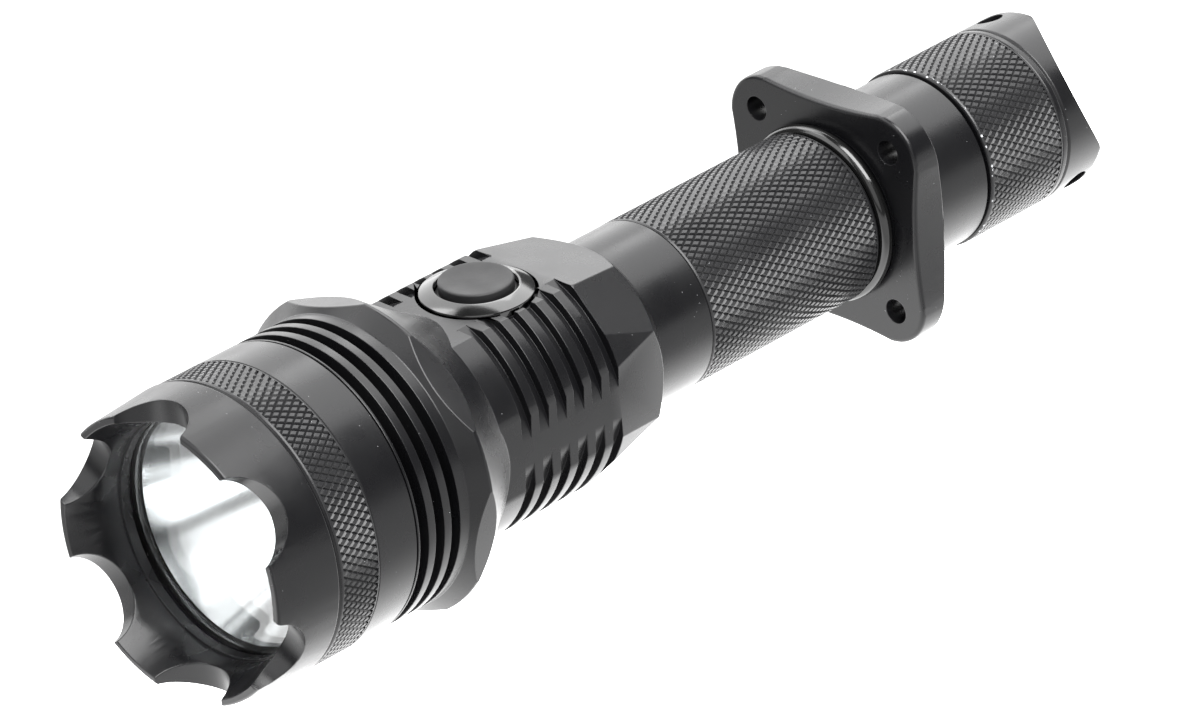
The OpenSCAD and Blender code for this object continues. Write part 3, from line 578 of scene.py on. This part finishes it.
@dataclass
class SlottedHead(SoftenedPart):
    """The head body, whose slots run deeper over the rounds than at their ends on the flats.

    Pairs in millimetres are places along the beam axis, from the flashlight's middle, and angles
    are counted from the switch, on either side.

    Attributes:
        near_mm: How near to a surface a point has to lie to count as on it.
        slots_mm: Where the slots begin and end.
        floor_mm: The radius of the slots' floors.
        top_mm: The height of the top flat.
        reach_mm: How near to the middle of the top flat the slots' ends come. Beside the switch
            that is inside its recess, and the faces that cross the recess lie under the ring.
        extra_mm: How much deeper the slots become, at most.
        upper_deg: Where the slots above the side flat begin and end.
        lower_deg: Where the slots below the side flat begin and end.
        knuckle_mm: The rounding of the ribs at the top flat.
        knuckle_over_mm: The height above which those edges lie.
        level: The least upward share of the top flat's normal.
        rib_tilt: The span of the upward share of a rib's normal beside the top flat.
        flange_mm: Where the flange begins and ends.
        flange_inner_mm: The radius outside which its rim lies.
        rim_round_mm: The rounding of the rim.
        rim_turn_deg: Edges of the rim that turn more than this are rounded.
        round_faces: Faces across these roundings.
        round_mm: The radius of the grip's round.
        collar_mm: The span in which the round's rest between the collar's facets is looked for.
        corner_deg: The angles between which it is looked for.
    """

    near_mm: float = 0.03
    slots_mm: Pair = (-37.4, -18.2)
    floor_mm: float = 17.0
    top_mm: float = 15.3
    reach_mm: float = 5.9
    extra_mm: float = 0.6
    upper_deg: Pair = (25.8, 83.8)
    lower_deg: Pair = (96.2, 173.8)
    knuckle_mm: float = 0.7
    knuckle_over_mm: float = 14.0
    level: float = 0.999
    rib_tilt: Pair = (0.75, 0.97)
    flange_mm: Pair = (-53.0, -45.0)
    flange_inner_mm: float = 21.5
    rim_round_mm: float = 0.8
    rim_turn_deg: float = 12.0
    round_faces: int = 4
    round_mm: float = 17.7
    collar_mm: Pair = (-18.3, -14.0)
    corner_deg: Pair = (50.0, 130.0)

    def carve(self, shape: BMesh) -> list[BMEdge]:
        """Sinks the slots, rounds the ribs and the flange's rim, and faces the collar's corners.

        Args:
            shape: The copied solid, which is changed.

        Returns:
            Shallow edges that are broken too.
        """
        self.sink_slots(shape)
        for chosen, width_mm in ((self.borders_top, self.knuckle_mm),
                                 (self.rims_flange, self.rim_round_mm)):
            edges = [edge for edge in shape.edges if chosen(edge)]
            log.info("%d edges rounded by %.2f mm", len(edges), width_mm)
            round_edges(shape, edges, width_mm, self.round_faces, clamp=True)
        return self.face_collar(shape)

    def sink_slots(self, shape: BMesh) -> None:
        """Sinks the slots' floors along each round, and carries their upper ends onto the top flat.

        An upper slot is deepest over its upper half, and a lower one in its middle. At the side
        flat and at the bottom they keep the solid's depth.

        Args:
            shape: The copied solid, which is changed.
        """
        half_way = 0.5
        floors = [face for face in shape.faces if all(self.on_floor(v) for v in face.verts)]
        for vertex in {vertex for face in floors for vertex in face.verts}:
            place = vertex.co / MM
            if abs(place.z - self.top_mm) < self.near_mm:
                vertex.co.y = math.copysign(self.reach_mm * MM, place.y)
                continue
            angle = from_switch_deg(place)
            upper = angle < QUARTER_DEG
            start, end = self.upper_deg if upper else self.lower_deg
            share = min(max((angle - start) / (end - start), 0.0), 1.0)
            arc = math.sin(math.pi * (max(share, half_way) if upper else share))
            radius = off_axis(place)
            sunk = (radius - self.extra_mm * arc) / radius
            vertex.co.y *= sunk
            vertex.co.z *= sunk

    def face_collar(self, shape: BMesh) -> list[BMEdge]:
        """Carries what is left of the round between the collar's facets on to the chamfer.

        It becomes one flat triangle at each of the four corners.

        Args:
            shape: The copied solid, which is changed.

        Returns:
            The triangles' borders on the facets.
        """
        corners: dict[tuple[bool, bool], list[BMVert]] = {}
        for vertex in shape.verts:
            if self.on_corner(vertex):
                corners.setdefault((vertex.co.y > 0.0, vertex.co.z > 0.0), []).append(vertex)
        borders: list[BMEdge] = []
        for group in corners.values():
            rear = max(group, key=lambda vertex: vertex.co.x)
            chamfer = max((edge.other_vert(rear) for edge in rear.link_edges),
                          key=lambda vertex: vertex.co.x)
            place = chamfer.co.copy()
            bmesh.ops.pointmerge(shape, verts=group + [chamfer], merge_co=place)
            tip = min(shape.verts, key=lambda vertex: (vertex.co - place).length)
            fan = [face for face in tip.link_faces
                   if all(v is tip or self.on_round(v) for v in face.verts)]
            triangle = bmesh.ops.dissolve_faces(shape, faces=fan)["region"][0]
            borders += [edge for edge in triangle.edges if tip in edge.verts]
        log.info("%d borders of the collar's triangles", len(borders))
        return borders

    def on_round(self, vertex: BMVert) -> bool:
        """Tells whether a point lies on the grip's round."""
        return abs(off_axis(vertex.co) / MM - self.round_mm) < self.near_mm

    def on_corner(self, vertex: BMVert) -> bool:
        """Tells whether a point lies on what is left of the round between the collar's facets.

        Args:
            vertex: The point.

        Returns:
            Whether it does.
        """
        place = vertex.co / MM
        first, last = self.collar_mm
        least, most = self.corner_deg
        return (self.on_round(vertex) and first < place.x < last
                and least < from_switch_deg(place) < most)

    def on_floor(self, vertex: BMVert) -> bool:
        """Tells whether a point lies on the floor of a slot.

        Args:
            vertex: The point.

        Returns:
            Whether it does.
        """
        place = vertex.co / MM
        first, last = self.slots_mm
        return abs(off_axis(place) - self.floor_mm) < self.near_mm and first < place.x < last

    def rims_flange(self, edge: BMEdge) -> bool:
        """Tells whether an edge lies on the flange's rim or round one of its flats.

        Args:
            edge: The edge.

        Returns:
            Whether it does.
        """
        places = [vertex.co / MM for vertex in edge.verts]
        first, last = self.flange_mm
        return (edge.is_manifold and edge.calc_face_angle(0.0) > math.radians(self.rim_turn_deg)
                and all(first < p.x < last and off_axis(p) > self.flange_inner_mm for p in places))

    def borders_top(self, edge: BMEdge) -> bool:
        """Tells whether an edge parts the top flat from a rib's round.

        Args:
            edge: The edge.

        Returns:
            Whether it does.
        """
        if len(edge.link_faces) != 2:
            return False
        middle = (edge.verts[0].co + edge.verts[1].co) / 2 / MM
        tops = [face.normal.z for face in edge.link_faces]
        first, last = self.slots_mm
        return (max(tops) > self.level and self.rib_tilt[0] < min(tops) < self.rib_tilt[1]
                and middle.z > self.knuckle_over_mm and first < middle.x < last)


@dataclass
class KnurlBand:
    """A diamond knurl: two crossed sets of helical grooves that leave rows of blunt pyramids.

    Attributes:
        name: The piece's name.
        body: The body that carries it.
        first_mm: Where it begins along the beam axis.
        last_mm: Where it ends.
        root_mm: The radius of the grooves.
        crest_mm: The radius of the teeth.
        pitch_mm: The width of a tooth round the axis, which is fitted to a whole number of teeth.
        length_ratio: A tooth's length along the axis, in widths.
        blunt: The width of a tooth's top, as a share of its foot.
        crest_wear: How far the teeth are rubbed, up to one.
        front_wear: How far the land at its front end is rubbed.
        land_mm: How far a land reaches out from the knurl's end, and in under the teeth.
        land_round_mm: Points of a land's rounding: the way out, and the depth below the crest.
        foot_mm: How far below the root a land's foot lies.
        land_faces: Faces round a land.
    """

    name: str
    body: str
    first_mm: float
    last_mm: float
    root_mm: float
    crest_mm: float
    pitch_mm: float = 1.16
    length_ratio: float = 1.78
    blunt: float = 0.52
    crest_wear: float = 0.6
    front_wear: float = 0.6
    land_mm: Pair = (0.34, -0.1)
    land_round_mm: tuple[Pair, ...] = ((0.22, 0.1), (0.1, 0.03), (0.0, 0.0), (-0.1, 0.0))
    foot_mm: float = 0.1
    land_faces: int = 180

    def build(self) -> Object:
        """Makes one tooth, spins a ring of it, repeats the ring and trims both ends.

        Returns:
            The knurl with its two lands.
        """
        shape = bmesh.new()
        count = round(math.tau * self.root_mm / self.pitch_mm)
        half_wide = self.root_mm * math.tan(math.pi / count) * MM
        half_long = half_wide * self.length_ratio
        self.add_tooth(shape, half_long, half_wide)
        bmesh.ops.spin(shape, geom=shape.faces[:], cent=(0, 0, 0), axis=BEAM_AXIS, dvec=(0, 0, 0),
                       angle=math.tau * (count - 1) / count, steps=count - 1, use_duplicate=True)
        ring = everything(shape)
        rows = math.ceil((self.last_mm - self.first_mm) * MM / half_long) + 1
        half_turn = math.pi / count
        for row in range(1, rows):
            copy = bmesh.ops.duplicate(shape, geom=ring)["geom"]
            verts = [v for v in copy if isinstance(v, BMVert)]
            turn = Matrix.Rotation(half_turn * (row % 2), 3, BEAM_AXIS)
            bmesh.ops.rotate(shape, cent=(0, 0, 0), matrix=turn, verts=verts)
            bmesh.ops.translate(shape, vec=BEAM_AXIS * (half_long * row), verts=verts)
        bmesh.ops.remove_doubles(shape, verts=shape.verts[:], dist=TOOTH_MERGE)
        for end_mm, side, worn in ((self.first_mm, -1.0, self.front_wear),
                                   (self.last_mm, 1.0, self.crest_wear)):
            bmesh.ops.bisect_plane(shape, geom=everything(shape), dist=SAME_PLACE,
                                   plane_co=BEAM_AXIS * (end_mm * MM), plane_no=BEAM_AXIS * side,
                                   clear_outer=True)
            self.add_land(shape, end_mm, side, worn)
        return finish_piece(self.name, shape, ANODISED, self.body, "black_anodised",
                            crease_deg=12.0)

    def add_tooth(self, shape: BMesh, half_long: float, half_wide: float) -> None:
        """Makes one blunt pyramid without its base, over the axis at the knurl's front end.

        Args:
            shape: The empty mesh that it goes into.
            half_long: Half its length along the axis, in metres.
            half_wide: Half its width, in metres.
        """
        wear = shape.verts.layers.float.new(EDGE_WEAR)
        bmesh.ops.create_cone(shape, cap_ends=True, cap_tris=False, segments=4, radius1=1.0,
                              radius2=self.blunt, depth=1.0)
        downwards = -0.9
        base = [face for face in shape.faces if face.normal.z < downwards]
        bmesh.ops.delete(shape, geom=base, context="FACES_ONLY")
        for vertex in shape.verts:
            vertex[wear] = self.crest_wear if vertex.co.z > 0.0 else 0.0
        height = (self.crest_mm - self.root_mm) * MM
        lift = Vector((0.0, 0.0, self.root_mm * MM + height / 2))
        bmesh.ops.scale(shape, vec=(half_long, half_wide, height), verts=shape.verts[:])
        bmesh.ops.translate(shape, vec=lift + BEAM_AXIS * (self.first_mm * MM),
                            verts=shape.verts[:])

    def add_land(self, shape: BMesh, end_mm: float, side: float, worn: float) -> None:
        """Turns the narrow rounded land at which the knurling wheel stopped.

        Args:
            shape: The knurl, to which the land is added.
            end_mm: Where the knurl ends.
            side: The way out along the axis, plus or minus one.
            worn: How far the land's edge is rubbed, up to one.
        """
        foot = self.root_mm - self.foot_mm
        out_mm, in_mm = self.land_mm
        rounding = [(out, self.crest_mm - drop) for out, drop in self.land_round_mm]
        profile = [(end_mm + side * out, radius)
                   for out, radius in ((out_mm, foot), *rounding, (in_mm, foot))]
        land = turned(profile, BEAM_AXIS, Vector(), self.land_faces)
        wear = land.verts.layers.float.new(EDGE_WEAR)
        for vertex in land.verts:
            vertex[wear] = worn if off_axis(vertex.co) > self.root_mm * MM else 0.0
        mesh = to_mesh("land", land)
        shape.from_mesh(mesh)
        bpy.data.meshes.remove(mesh)


@dataclass
class MirrorBowl:
    """The smooth parabolic reflector.

    Attributes:
        opening_mm: The mirror's radius at its mouth.
        hole_mm: The radius of the hole for the LED.
        wall_mm: How far outside the mirror the back's skin lies.
        rim_mm: The rim's outer radius.
        rim_thick_mm: The rim's thickness.
        steps: Faces from the hole to the mouth.
        around: Faces round the axis.
    """

    opening_mm: float = 17.0
    hole_mm: float = 5.2
    wall_mm: float = 0.9
    rim_mm: float = 18.1
    rim_thick_mm: float = 1.0
    steps: int = 48
    around: int = 160

    def build(self) -> Object:
        """Spins the bowl's two skins and its rim in one profile.

        Returns:
            The piece that stands for the solid.
        """
        front, rear = (corner.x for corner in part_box("reflector"))
        depth = (rear - front) / MM
        steepness = depth / (self.opening_mm ** 2 - self.hole_mm ** 2)
        reach = self.opening_mm - self.hole_mm
        radii = [self.hole_mm + reach * i / self.steps for i in range(self.steps + 1)]
        mirror = [(steepness * (self.opening_mm ** 2 - r * r), r) for r in radii]
        rim = [(0.0, self.rim_mm), (self.rim_thick_mm, self.rim_mm)]
        back = [(along, r + self.wall_mm) for along, r in reversed(mirror)
                if along > self.rim_thick_mm]
        shape = turned(mirror + rim + back, BEAM_AXIS, Vector((front, 0, 0)), self.around)
        piece = finish_piece("reflector_bowl", shape, MIRROR, "torch", "mirror_metal",
                             crease_deg=40.0)
        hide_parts("reflector")
        return piece


@dataclass
class SwitchTrim:
    """The side switch's polished trim ring and its rubber button, turned about the button's axis.

    Attributes:
        ring_mm: The ring's outer radius.
        ring_edge_mm: Points of its outer edge's rounding: above the bevel's foot, and inwards.
        bevel_mm: How far below the ring's top the bevel's foot lies.
        land_mm: The radii between which the ring's top is flat.
        land_drop_mm: How far the flat falls outwards.
        bore_mm: The radius of the ring's bore.
        bore_edge_mm: Points of the bore's rounded edge: below the top, and outwards.
        seat_mm: How far below its top the ring sits on the head body.
        lip_mm: How far below that seat the bore's lip reaches.
        sleeve_mm: The inner and the outer radius of the sleeve under the seat.
        button_mm: The radius of the part of the button that shows.
        button_round_mm: The rounding of its edge.
        round_faces: Faces across that rounding.
        dish_mm: Points of the dish in its top: below the top, and the radius.
        stem_mm: The radius of the button's stem.
        neck_mm: How far below the ring's top the stem begins and ends to narrow.
        flange_mm: The radius of the flange at the button's foot.
        flange_thick_mm: The flange's thickness.
        steps: Faces round the axis.
    """

    ring_mm: float = 7.95
    ring_edge_mm: tuple[Pair, ...] = ((0.07, 0.24), (0.0, 0.08), (-0.14, 0.0))
    bevel_mm: float = 0.8
    land_mm: Pair = (5.9, 6.1)
    land_drop_mm: float = 0.03
    bore_mm: float = 5.75
    bore_edge_mm: tuple[Pair, ...] = ((0.3, 0.0), (0.06, 0.05))
    seat_mm: float = 1.8
    lip_mm: float = 0.6
    sleeve_mm: Pair = (6.4, 7.2)
    button_mm: float = 5.2
    button_round_mm: float = 0.3
    round_faces: int = 6
    dish_mm: tuple[Pair, ...] = ((0.02, 4.6), (0.1, 4.0), (0.19, 3.2), (0.25, 2.0), (0.25, 0.0))
    stem_mm: float = 5.6
    neck_mm: Pair = (0.9, 0.7)
    flange_mm: float = 6.2
    flange_thick_mm: float = 0.6
    steps: int = 144

    def build(self) -> Iterator[Object]:
        """Makes the ring, and then the button in it.

        Yields:
            The two pieces.
        """
        low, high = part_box("switch_ring")
        start = Vector(((low.x + high.x) / 2, 0.0, 0.0))
        ring_top = high.z / MM
        shape = turned(self.ring_profile(low.z / MM, ring_top), SWITCH_AXIS, start, self.steps)
        ring = finish_piece("switch_ring_turned", shape, POLISHED, "torch", "bright_ring",
                            crease_deg=30.0)
        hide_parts("switch_ring")
        yield ring
        low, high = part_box("side_button")
        shape = turned(self.button_profile(low.z / MM, high.z / MM, ring_top), SWITCH_AXIS, start,
                       self.steps, closed=False)
        button = finish_piece("side_button_moulded", shape, BUTTON_RUBBER, "side_key",
                              "button_rubber")
        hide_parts("side_button")
        yield button

    def ring_profile(self, foot: float, top: float) -> list[Pair]:
        """Draws the ring, with the small radii that polishing leaves.

        Args:
            foot: The height of its foot, in millimetres.
            top: The height of its top.

        Returns:
            Pairs of a height and a radius.
        """
        seat = top - self.seat_mm
        bevel = top - self.bevel_mm
        inner, outer = self.sleeve_mm
        bore = [(top - drop, self.bore_mm + out) for drop, out in self.bore_edge_mm]
        land = [(top, self.land_mm[0]), (top - self.land_drop_mm, self.land_mm[1])]
        edge = [(bevel + rise, self.ring_mm - inwards) for rise, inwards in self.ring_edge_mm]
        return [(foot, inner), (seat - self.lip_mm, inner), (seat - self.lip_mm, self.bore_mm),
                *bore, *land, *edge, (seat, self.ring_mm), (seat, outer), (foot, outer)]

    def button_profile(self, foot: float, top: float, ring_top: float) -> list[Pair]:
        """Draws the button from its foot to the middle of its dish.

        Args:
            foot: The height of its foot, in millimetres.
            top: The height of its top.
            ring_top: The height of the ring's top.

        Returns:
            Pairs of a height and a radius.
        """
        shoulder = foot + self.flange_thick_mm
        begin, end = (ring_top - drop for drop in self.neck_mm)
        stem = [(foot, 0.0), (foot, self.flange_mm), (shoulder, self.flange_mm),
                (shoulder, self.stem_mm), (begin, self.stem_mm), (end, self.button_mm)]
        soft = self.button_round_mm
        step = QUARTER_DEG / self.round_faces
        turns = [math.radians(step * i) for i in range(self.round_faces + 1)]
        rounding = [(top - soft + soft * math.sin(a), self.button_mm - soft + soft * math.cos(a))
                    for a in turns]
        dish = [(top - drop, radius) for drop, radius in self.dish_mm]
        return stem + rounding + dish


@dataclass(frozen=True)
class Panel:
    """A soft panel light that faces the flashlight, with its place and size in metres."""

    name: str
    place: Triple
    width: float
    height: float
    watts: float

    def hang(self) -> None:
        """Hangs the panel in the scene."""
        data = bpy.data.lights.new(self.name, "AREA")
        data.shape = "RECTANGLE"
        data.size = self.width
        data.size_y = self.height
        data.energy = self.watts
        away = Vector(self.place)
        turn = away.to_track_quat("Z", "Y").to_matrix()
        add_object(self.name, data).matrix_world = Matrix.Translation(away) @ turn.to_4x4()


# Behind the flashlight, past its tail, over its near side, round the eye, past its crown, and high
# behind it.
PANELS = (
    Panel("back_panel", (0.62, 1.48, 0.9), 2.2, 2.2, 52.0),
    Panel("top_panel", (1.37, 0.12, 1.525), 2.0, 1.48, 47.0),
    Panel("over_panel", (-0.12, -0.88, 1.9), 1.8, 1.8, 160.0),
    Panel("eye_panel", (-1.6, -1.75, 1.35), 2.6, 2.6, 30.0),
    Panel("front_panel", (-1.7, 0.8, 1.5), 2.0, 2.0, 45.0),
    Panel("high_panel", (-0.35, 1.3, 1.6), 1.2, 1.2, 20.0),
)


@dataclass
class Studio:
    """The camera, the floor and the lights.

    Attributes:
        camera_mm: Where the camera stands.
        right: The picture's right, as a direction.
        up: The picture's up.
        back: The way from the flashlight to the camera.
        lens_mm: The camera's focal length.
        sensor_mm: The width of its sensor.
        clip: The nearest and the farthest that it sees, in metres.
        floor_size: The floor's side, in metres.
        floor_colour: The floor's own colour, under its painted glow.
        floor_roughness: The floor's roughness.
        front_rest_mm: Where the head's flange rests on the floor, along X and Z.
        rear_rest_mm: Where the guard rests on it.
        painted_glow_reach_mm: How far to the side the painted pool of light on the floor begins to
            fall, and ends.
        painted_glow_strength: The floor's painted glow under the flashlight, and away from it.
        sky_colour: The colour of the light from all round.
        sky_strength: The strength of that light.
    """

    camera_mm: Triple = (-692.32, -695.65, 494.08)
    right: Triple = (0.686424, -0.724374, -0.064376)
    up: Triple = (0.369966, 0.271628, 0.888455)
    back: Triple = (-0.626057, -0.633723, 0.454450)
    lens_mm: float = 240.0
    sensor_mm: float = 36.0
    clip: Pair = (0.05, 50.0)
    floor_size: float = 6.0
    floor_colour: str = "#4a4a4a"
    floor_roughness: float = 0.8
    front_rest_mm: Pair = (-49.9, -23.2)
    rear_rest_mm: Pair = (45.0, -18.15)
    # Painted light: within this reach of the flashlight the floor glows more, a pool that fills its
    # shadow.
    painted_glow_reach_mm: Pair = (12.0, 45.0)
    painted_glow_strength: Pair = (4.0, 1.25)
    sky_colour: str = "#e9e9e9"
    sky_strength: float = 0.25

    def build_camera(self) -> None:
        """Sets the camera that was fitted to the object's circles."""
        data = bpy.data.cameras.new("camera")
        data.lens = self.lens_mm
        data.sensor_width = self.sensor_mm
        data.clip_start, data.clip_end = self.clip
        camera = add_object("camera", data)
        turn = Matrix((self.right, self.up, self.back)).transposed()
        camera.matrix_world = Matrix.Translation(Vector(self.camera_mm) * MM) @ turn.to_4x4()
        bpy.context.scene.camera = camera

    def build_floor(self) -> None:
        """Lays the floor under the two places where the flashlight rests."""
        front, rear = (Vector((x, 0.0, z)) * MM for x, z in (self.front_rest_mm, self.rear_rest_mm))
        slope = math.atan2(rear.z - front.z, rear.x - front.x)
        shape = bmesh.new()
        bmesh.ops.create_grid(shape, x_segments=1, y_segments=1, size=self.floor_size / 2)
        bmesh.ops.rotate(shape, cent=(0, 0, 0), matrix=Matrix.Rotation(-slope, 3, "Y"),
                         verts=shape.verts[:])
        bmesh.ops.translate(shape, vec=(front + rear) / 2, verts=shape.verts[:])
        mesh = to_mesh("floor", shape)
        mesh.materials.append(self.painted_glow_floor())
        floor = add_object("floor", mesh)

    def painted_glow_floor(self) -> Material:
        """Makes the floor's grey acrylic, which glows like a light table, with a painted pool of
        light that is strongest in a strip under the flashlight, filling its shadow and brightening
        its reflection in the flashlight's lower sides.

        Returns:
            The material, whose painted glow is strongest under the flashlight.
        """
        made = blank_material("opal_acrylic_with_painted_glow")
        tree = made.node_tree
        place = add_node(tree, "ShaderNodeTexCoord").outputs["Object"]
        parts = add_node(tree, "ShaderNodeSeparateXYZ", None, {0: place})
        aside = add_node(tree, "ShaderNodeMath", None, {0: parts.outputs["Y"]},
                         operation="ABSOLUTE")
        near, far = self.painted_glow_reach_mm
        under, away = self.painted_glow_strength
        # A painted pool of light: the floor glows most in a strip under the flashlight, where its
        # shadow falls.
        painted_glow = add_node(tree, "ShaderNodeMapRange",
                        {"From Min": near * MM, "From Max": far * MM, "To Min": under,
                         "To Max": away}, {"Value": aside.outputs[0]},
                        interpolation_type="SMOOTHSTEP")
        shader = add_node(tree, "ShaderNodeBsdfPrincipled",
                          {"Base Color": linear(self.floor_colour),
                           "Roughness": self.floor_roughness, "Emission Color": linear("#ffffff")},
                          {"Emission Strength": painted_glow.outputs["Result"]})
        add_node(tree, "ShaderNodeOutputMaterial", None, {"Surface": shader.outputs["BSDF"]})
        return made

    def build_lights(self) -> None:
        """Hangs the soft panels, and gives a weak even light from all round."""
        bpy.context.scene.view_settings.view_transform = "Standard"
        for panel in PANELS:
            panel.hang()
        world = bpy.data.worlds.new("studio")
        world.use_nodes = True
        sky = world.node_tree.nodes["Background"].inputs
        sky["Color"].default_value = linear(self.sky_colour)
        sky["Strength"].default_value = self.sky_strength
        bpy.context.scene.world = world


def build_parts() -> Iterator[Object]:
    """Builds every piece that goes over or in place of a solid.

    Yields:
        The pieces in order.
    """
    for node, body in (("crown_bezel", "crown"), ("guard", "guard_ring"), ("tail_cap", "cap")):
        yield SoftenedPart(node, body, ANODISED, "black_anodised").build()
    yield SlottedHead("head_body", "torch", ANODISED, "black_anodised", width_mm=0.12).build()
    yield KnurlBand("head_knurl", "torch", first_mm=-75.5, last_mm=-69.0, root_mm=20.98,
                    crest_mm=21.2, pitch_mm=1.17, length_ratio=1.6).build()
    yield KnurlBand("tube_knurl", "torch", first_mm=4.9, last_mm=38.3, root_mm=12.53,
                    crest_mm=12.75).build()
    yield KnurlBand("cap_knurl", "cap", first_mm=62.25, last_mm=77.0, root_mm=13.28,
                    crest_mm=13.5, pitch_mm=1.19, length_ratio=1.69, front_wear=1.0).build()
    yield MirrorBowl().build()
    yield from SwitchTrim().build()


def main() -> None:
    """Builds the studio and the pieces in order."""
    logging.basicConfig(level=logging.INFO, format="%(message)s")
    studio = Studio()
    studio.build_camera()
    studio.build_floor()
    studio.build_lights()
    for finish, nodes in NODE_FINISHES.items():
        for node in nodes:
            dress(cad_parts[node], finish)
    made = list(build_parts())
    log.info("%d pieces made", len(made))


if __name__ == "__main__":
    main()
